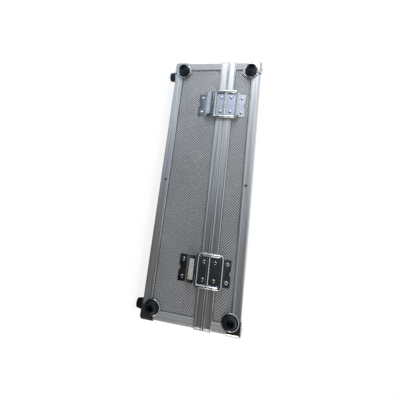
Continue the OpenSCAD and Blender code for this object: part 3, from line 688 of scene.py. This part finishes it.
long_pad = sewn_pads("long_divider_pad", "long_divider")
cross_pads = sewn_pads("cross_divider_pads", "cross_dividers")
print("dividers have", len(long_pad.data.polygons) + len(cross_pads.data.polygons), "faces")

# %% [markdown]
# The lid holds convoluted foam, which is cut by rollers into rows of soft peaks. Its shape follows
# a rule, a product of two waves, so Geometry Nodes make it: a fine grid is lifted by the waves and
# then thickened upwards to a flat back. The sizes are inputs, to be changed without the script.

# %% Convoluted foam in the lid
def new_tree(name, inputs):
    """A Geometry Nodes tree with geometry in and out and named inputs: (name, kind, value)."""
    tree = bpy.data.node_groups.new(name, "GeometryNodeTree")

    def socket(label, way, kind):
        return tree.interface.new_socket(name=label, in_out=way, socket_type="NodeSocket" + kind)

    socket("Geometry", "INPUT", "Geometry")
    for label, kind, value in inputs:
        socket(label, "INPUT", kind).default_value = value
    socket("Geometry", "OUTPUT", "Geometry")
    return tree, add(tree, "NodeGroupInput").outputs

def grown(name, base_mesh, tree, values):
    """Runs a tree on a mesh with its inputs set by identifier, and returns the plain mesh."""
    carrier = placed(name, base_mesh)
    mod = carrier.modifiers.new("grow", "NODES")
    mod.node_group = tree
    for item in tree.interface.items_tree:
        if item.in_out == "INPUT" and item.name in values:
            mod[item.identifier] = values[item.name]
    mesh = applied(carrier)
    mesh.name = name
    return mesh

def peaked_foam_tree():
    tree, given = new_tree("peaked_foam", [
        ("Width", "Float", 0.4), ("Depth", "Float", 0.3), ("Thickness", "Float", 0.03),
        ("Pitch", "Float", 0.03), ("Peak", "Float", 0.012), ("Cell", "Float", 0.004)])
    nx, ny = [maths(tree, "ROUND", maths(tree, "DIVIDE", given[side], given["Cell"]))
              for side in ("Width", "Depth")]
    grid = made(tree, "GeometryNodeMeshGrid", {"Size X": given["Width"], "Size Y": given["Depth"],
                                               "Vertices X": nx, "Vertices Y": ny})
    position = made(tree, "GeometryNodeInputPosition")
    x, y, _ = add(tree, "ShaderNodeSeparateXYZ", {0: position}).outputs
    turn = maths(tree, "DIVIDE", 2 * math.pi, given["Pitch"])
    wave_x, wave_y = [maths(tree, "COSINE", maths(tree, "MULTIPLY", p, turn)) for p in (x, y)]
    wave = maths(tree, "MULTIPLY_ADD", maths(tree, "MULTIPLY", wave_x, wave_y), -0.5, 0.5)
    height = maths(tree, "MULTIPLY", wave, given["Peak"])
    lift = made(tree, "ShaderNodeCombineXYZ", {2: height})
    waved = made(tree, "GeometryNodeSetPosition", {"Geometry": grid, "Offset": lift})
    turned = made(tree, "GeometryNodeFlipFaces", {0: waved})
    up = made(tree, "ShaderNodeCombineXYZ", {2: given["Thickness"]})
    thick = add(tree, "GeometryNodeExtrudeMesh",
                {"Mesh": waved, "Offset": up, "Individual": False}).outputs
    level = made(tree, "ShaderNodeCombineXYZ", {0: x, 1: y, 2: given["Thickness"]})
    back = made(tree, "GeometryNodeSetPosition",
                {"Geometry": thick["Mesh"], "Selection": thick["Top"], "Position": level})
    both = add(tree, "GeometryNodeJoinGeometry")
    for side in (turned, back):
        tree.links.new(side, both.inputs[0])
    merged = made(tree, "GeometryNodeMergeByDistance", {0: both.outputs[0], "Distance": 1e-5})
    smooth = made(tree, "GeometryNodeSetShadeSmooth", {"Geometry": merged})
    plain = made(tree, "GeometryNodeRealizeInstances", {0: smooth})
    dressed = made(tree, "GeometryNodeSetMaterial", {"Geometry": plain, "Material": foam_grey})
    add(tree, "NodeGroupOutput", {0: dressed})
    return tree

low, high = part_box("lid_foam")
peaks = grown("lid_peaked_foam", bpy.data.meshes.new("seed"), peaked_foam_tree(),
              {"Width": high.x - low.x, "Depth": high.y - low.y, "Thickness": high.z - low.z,
               "Pitch": 31 * mm, "Peak": 15 * mm, "Cell": 3.6 * mm})
peaks.transform(Matrix.Translation(((low.x + high.x) / 2, (low.y + high.y) / 2, low.z)))
piece_from("lid_peaked_foam", peaks, "lid", "foam", "lid_foam", fill=0.7)
print("lid foam has", len(peaks.polygons), "faces")

# %% [markdown]
# Rivets, screws and feet repeat all over the case. Each kind is turned once from a short profile.
# One Geometry Nodes tree then sets a copy on every point of a small mesh, along an arrow stored
# there. The points are read from the CAD nodes, so a copy can't miss its hole. Copies placed by
# hand would look the same and be slower to change.

# %% A lathe and a tree that sets copies
def turned_part(name, profile, steps):
    """Solid of revolution about Z. The profile lists (radius, height) in mm, from the axis round
    to the axis, or round to its own start for a ring."""
    bm = bmesh.new()
    rings = []
    for radius, height in profile:
        count = steps if radius > 1e-6 else 1
        turns = [2 * math.pi * k / steps for k in range(count)]
        rings.append([bm.verts.new((radius * mm * math.cos(a), radius * mm * math.sin(a),
                                    height * mm)) for a in turns])
    for low, high in zip(rings, rings[1:]):
        for k in range(steps):
            n = (k + 1) % steps
            corners = [r[i % len(r)] for r, i in ((low, k), (low, n), (high, n), (high, k))]
            bm.faces.new(list(dict.fromkeys(corners)))
    bmesh.ops.remove_doubles(bm, verts=bm.verts, dist=1e-6)
    bmesh.ops.recalc_face_normals(bm, faces=bm.faces)
    return to_mesh(bm, name)

def rounded(profile, radius, steps=4):
    """Rounds the inner corners of a profile by a radius in mm."""
    out = [profile[0]]
    for before, here, after in zip(profile, profile[1:], profile[2:]):
        b, h, a = Vector(before), Vector(here), Vector(after)
        r = min(radius, (b - h).length * 0.45, (a - h).length * 0.45)
        p, q = h + (b - h).normalized() * r, h + (a - h).normalized() * r
        out += [tuple(p.lerp(h, k / steps).lerp(h.lerp(q, k / steps), k / steps))
                for k in range(steps + 1)]
    return out + [profile[-1]]

def copies_tree(name):
    tree, given = new_tree(name, [("Part", "Object", None), ("Size", "Float", 1.0),
                                  ("Finish", "Material", None)])
    part = add(tree, "GeometryNodeObjectInfo", {"Object": given["Part"], "As Instance": True})
    arrow = made(tree, "GeometryNodeInputNamedAttribute",
                 {"data_type": "FLOAT_VECTOR", "Name": "arrow"})
    turn = made(tree, "FunctionNodeAlignRotationToVector", {"axis": "Z", "Vector": arrow})
    # No two rivets are set alike, so each copy is also spun about its arrow by a random angle.
    spin = add(tree, "FunctionNodeRandomValue", {"data_type": "FLOAT", 2: 0.0, 3: 6.28, "Seed": 7})
    own = made(tree, "FunctionNodeAxisAngleToRotation",
               {"Axis": (0, 0, 1), "Angle": spin.outputs[1]})
    both = made(tree, "FunctionNodeRotateRotation",
                {"rotation_space": "LOCAL", "Rotation": turn, "Rotate By": own})
    copies = made(tree, "GeometryNodeInstanceOnPoints",
                  {"Points": given["Geometry"], "Instance": part.outputs["Geometry"],
                   "Rotation": both, "Scale": given["Size"]})
    plain = made(tree, "GeometryNodeRealizeInstances", {0: copies})
    dressed = made(tree, "GeometryNodeSetMaterial",
                   {"Geometry": plain, "Material": given["Finish"]})
    add(tree, "NodeGroupOutput", {0: dressed})
    return tree

copies = copies_tree("copies_on_points")

def arrows_mesh(spots):
    """Points with an arrow each: spots lists (place, direction)."""
    mesh = bpy.data.meshes.new("spots")
    mesh.from_pydata([tuple(p) for p, _ in spots], [], [])
    arrow = mesh.attributes.new("arrow", "FLOAT_VECTOR", "POINT")
    for k, (_, direction) in enumerate(spots):
        arrow.data[k].vector = direction
    return mesh

def spots_of(name):
    """Foot point, outward direction and height of each solid of a CAD node of round parts."""
    middle = (case_low + case_high) / 2
    half = (case_high - case_low) / 2
    found = []
    for low, high in node_islands(name):
        size, centre = high - low, (low + high) / 2
        # A round part is as wide as it is deep on two axes, so its own axis is the odd one.
        gaps = [abs(size[(k + 1) % 3] - size[(k + 2) % 3]) for k in range(3)]
        k = gaps.index(min(gaps))
        out = Vector((0, 0, 0))
        out[k] = math.copysign(1, (centre[k] - middle[k]) / half[k])
        found.append((centre - out * size[k] / 2, out, size[k]))
    return found

def set_copies(name, part, finish, body, slot, spots, replaced, smooth_angle=40):
    """One piece made of copies of a part, shaded smooth where its faces meet under the angle."""
    holder = placed(name + "_part", part)
    mesh = grown(name, arrows_mesh(spots), copies, {"Part": holder, "Size": 1.0, "Finish": finish})
    bpy.data.objects.remove(holder)
    mesh.set_sharp_from_angle(angle=math.radians(smooth_angle))
    piece_from(name, mesh, body, slot, *replaced)
    print(name, "has", len(spots), "copies and", len(mesh.polygons), "faces")

# %% [markdown]
# The profiles and corners have blind rivets: a low dome with a dimple where the stem broke off. The
# hinges, latches and handle carry load, so theirs are solid, with a fuller dome and no dimple,
# which shows as a bright dot.

# %% Rivets
rivet_rise, rivet_rim = 1.05, 0.25

def arc(radius, rise, base, degrees):
    """Points of a dome's outline at angles from its top."""
    return [(radius * math.sin(a), base + rise * math.cos(a)) for a in map(math.radians, degrees)]

def rivet_profile(radius, dimple):
    middle = ([(0, 0.75), (0.55, 0.78), (0.72, 1.14)] if dimple
              else [(0, rivet_rim + rivet_rise), (0.5, rivet_rim + rivet_rise - 0.02)])
    dome = arc(radius, rivet_rise, rivet_rim, range(24, 91, 11))
    return [*middle, *dome, (radius, 0.0), (0, 0.0)]

rivet_kinds = {
    "blind_rivets": (rivet_profile(2.4, dimple=True), rivet_dull_painted_dark,
                     {"base": ["base_rivets"], "lid": ["lid_rivets"]}),
    "solid_rivets": (rivet_profile(2.65, dimple=False), rivet_bright,
                     {"base": ["hinge_base_rivets", "latch_keeper_rivets", "handle_bracket_rivets"],
                      "lid": ["hinge_lid_rivets", "latch_mount_rivets"]}),
}
for kind, (profile, finish, rivet_nodes) in rivet_kinds.items():
    part = turned_part(kind, profile, 20)
    for body, names in rivet_nodes.items():
        spots = [(p, out) for n in names for p, out, _ in spots_of(n)]
        set_copies(body + "_" + kind, part, finish, body, "rivet_steel", spots, names)

# %% [markdown]
# A foot is a moulded rubber cone with a flange, a rounded end and a deep seat for its screw. The
# CAD foot's edges are sharp, and the profile here rounds them, which gives rubber its soft
# highlight. The screw is a pan head with a cross recess, cut with a boolean.

# %% Feet and their screws
foot_height = max(h for _, _, h in spots_of("base_feet")) / mm
flange_r, end_r, seat_r, seat_depth, foot_round = 9.8, 7.1, 4.4, 4.0, 0.9
shank_r, head_r, head_rim, head_rise, under_head = 2.0, 3.6, 0.8, 1.6, 0.4
recess_width, recess_length, recess_middle, recess_height = 0.9, 4.4, 2.3, 2.2
seat_clearance = 0.02       # between a screw's head and the seat of its foot

foot_outline = [
    (flange_r - 0.4, 0), (flange_r, 0.5), (flange_r, 2.4), (flange_r - 0.9, 3.3),
    (end_r + 0.6, foot_height - 1.0), (end_r - 0.6, foot_height), (seat_r + 0.4, foot_height),
    (seat_r, foot_height - 0.6), (seat_r, foot_height - seat_depth)]
foot_part = turned_part("foot", [(0, 0), *rounded(foot_outline, foot_round),
                                 (0, foot_height - seat_depth)], 40)

def screw_part():
    """A short shank and a pan head, less two crossing bars."""
    head_outline = [(0, 0), (shank_r, 0), (shank_r, under_head), (head_r - 0.1, under_head),
                    (head_r, head_rim), *arc(head_r, head_rise, head_rim, (75, 60, 45, 30, 15)),
                    (0, head_rim + head_rise)]
    cross = bmesh.new()
    for w, l in ((recess_width, recess_length), (recess_length, recess_width)):
        bmesh.ops.create_cube(cross, size=1.0, matrix=Matrix.Translation((0, 0, recess_middle * mm))
                              @ Matrix.Diagonal((w * mm, l * mm, recess_height * mm, 1)))
    cutter = placed("cross", to_mesh(cross, "cross"))
    screw = placed("screw", turned_part("screw", head_outline, 32))
    cut = screw.modifiers.new("recess", "BOOLEAN")
    cut.operation, cut.object, cut.solver, cut.use_self = "DIFFERENCE", cutter, "EXACT", True
    mesh = applied(screw)
    bpy.data.objects.remove(cutter)
    return mesh

screw_mesh = screw_part()
screw_sink = (seat_depth + under_head - seat_clearance) * mm
for body in ("base", "lid"):
    stands = spots_of(body + "_feet")
    set_copies(body + "_rubber_feet", foot_part, foot_rubber, body, "foot_rubber",
               [(p, out) for p, out, _ in stands], [body + "_feet"], 55)
    set_copies(body + "_cross_screws", screw_mesh, screw_black, body, "screw_steel",
               [(p + out * (h - screw_sink), out) for p, out, h in stands],
               [body + "_foot_screws"], 30)

# %% [markdown]
# The cloth of a divider is closed by a row of stitches under its top edge, on both faces. The
# same tree sets them: one short thread, many points, and an arrow along the row. They lie half
# sunk in the line that was pinned in the simulation. Where another divider butts on, the row
# stops.

# %% Stitches on the dividers
stitch_pitch, stitch_margin = 5 * mm, 8 * mm
butt_side, butt_reach = 3 * mm, 2 * mm

waxed_thread, t, s, place = new_material("waxed_thread", "#85888e", Roughness=0.6)
twist = mixed(t, noise(t, place, 1 / (0.5 * mm)), "#6d7076", "#a3a6ab")
t.links.new(twist, s.inputs["Base Color"])

def stitch_row(low, high):
    """Spots along the sewn line on both long faces of a divider, with an arrow along the line."""
    long, thin = long_and_thin(low, high)
    mid = (low + high) / 2
    count = int((high[long] - low[long] - 2 * stitch_margin) / stitch_pitch)
    arrow = Vector((0, 0, 0))
    arrow[long] = 1
    found = []
    for side in (-1, 1):
        for k in range(count + 1):
            place = mid.copy()
            place.z = high.z - pad_inset - seam_drop
            place[long] = mid[long] + (k - count / 2) * stitch_pitch
            place[thin] = mid[thin] + side * ((high[thin] - low[thin]) / 2 - swell)
            found.append((place, arrow))
    return found

cross_boxes = node_islands("cross_dividers")

def butted(p):
    """Whether a cross divider meets the long one at a spot."""
    return any(low.x - butt_side < p.x < high.x + butt_side
               and min(abs(p.y - low.y), abs(p.y - high.y)) < butt_reach
               for low, high in cross_boxes)

seam_spots = [spot for low, high in node_islands("long_divider") + cross_boxes
              for spot in stitch_row(low, high)]
thread_profile = [(0, -1.7), (0.28, -1.55), (0.42, -1.1), (0.46, 0), (0.42, 1.1), (0.28, 1.55),
                  (0, 1.7)]
set_copies("divider_stitches", turned_part("stitch", thread_profile, 8), waxed_thread, "base",
           "divider_cloth", [(p, along) for p, along in seam_spots if along.y or not butted(p)], [])

# %% [markdown]
# Each corner has a round lobe under its foot, pressed with a low raised rim. The rim is less than
# a millimetre high, but it is round in section, so some part of it always mirrors the window: it
# gives the bright crescent beside each dark foot. It starts a hair below the corner's face.

# %% Pressed rims round the feet
rim_profile = [(10.0, 0.0), (10.2, 0.4), (10.6, 0.75), (11.2, 0.9), (11.8, 0.8), (12.3, 0.5),
               (12.7, 0.0), (10.0, 0.0)]
rim_part = turned_part("lobe_rim", rim_profile, 48)
sunk = 0.03 * mm
for body in ("base", "lid"):
    set_copies(body + "_lobe_rims", rim_part, corner_chrome, body, "corner_steel",
               [(p - out * sunk, out) for p, out, _ in spots_of(body + "_feet")], [], 60)

# %% [markdown]
# A narrow paper strip is stuck on the hump of one hinge. It is blank here, a thin sheet bent over
# the hump's oval, made straight in mesh code because it repeats nowhere.

# %% Blank strip on the hinge's hump
paper_strip, t, s, place = new_material("aged_paper_strip", "#c9c7bd", Roughness=0.55)
stains = ramp(t, noise(t, place, 1 / (2.2 * mm), 5.0, 0.7), [(0.35, "#b2b1aa"), (0.62, "#e4e3dd")])
wire(t, s, stains, None, noise(t, place, 1 / (0.4 * mm)), 0.4, 0.06 * mm)

# The hump of a hinge's base leaf is a quarter oval. Its sizes are the CAD model's.
hump_foot = 6.6 * mm            # from the hinge's axis in to the oval's own centre
hump_out, hump_down = 12.6 * mm, 13.8 * mm
hump_mouth = 20.5 * mm          # from the hinge's axis down to where the oval starts
strip_middle, strip_half = 20.25 * mm, 15.2 * mm
strip_start, strip_arc = 1, 33  # degrees round the oval
strip_lift, strip_thick = 0.10 * mm, 0.14 * mm
rows, columns = 16, 24

def hump_strip():
    """Two layers of points over the oval, closed along their rim."""
    pin_low, pin_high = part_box("hinge_pins")
    foot_y = (pin_low.y + pin_high.y) / 2 - hump_foot
    mouth_z = (pin_low.z + pin_high.z) / 2 - hump_mouth
    centre = pin_low.x + strip_middle
    bm = bmesh.new()
    layers = []
    for off in (strip_lift, strip_lift + strip_thick):
        grid = []
        for i in range(rows + 1):
            a = math.radians(strip_start + strip_arc * i / rows)
            out = Vector((0, math.cos(a) / hump_out, -math.sin(a) / hump_down)).normalized()
            spot = Vector((0, foot_y + hump_out * math.cos(a), mouth_z - hump_down * math.sin(a)))
            spot += out * off
            grid.append([bm.verts.new((centre + strip_half * (2 * j / columns - 1), spot.y, spot.z))
                         for j in range(columns + 1)])
        layers.append(grid)
    for grid in layers:
        for i in range(rows):
            for j in range(columns):
                bm.faces.new((grid[i][j], grid[i + 1][j], grid[i + 1][j + 1], grid[i][j + 1]))
    low, high = layers
    rim = ([(i, 0) for i in range(rows)] + [(rows, j) for j in range(columns)]
           + [(i, columns) for i in range(rows, 0, -1)] + [(0, j) for j in range(columns, 0, -1)])
    for (i, j), (k, l) in zip(rim, rim[1:] + rim[:1]):
        bm.faces.new((low[i][j], low[k][l], high[k][l], high[i][j]))
    bmesh.ops.recalc_face_normals(bm, faces=bm.faces)
    mesh = to_mesh(bm, "blank_paper_strip")
    mesh.materials.append(paper_strip)
    return piece_from("blank_paper_strip", mesh, "base", "hinge_steel")

strip = hump_strip()
print("strip from", [round(c / mm, 1) for c in strip.bound_box[0]],
      "to", [round(c / mm, 1) for c in strip.bound_box[6]])
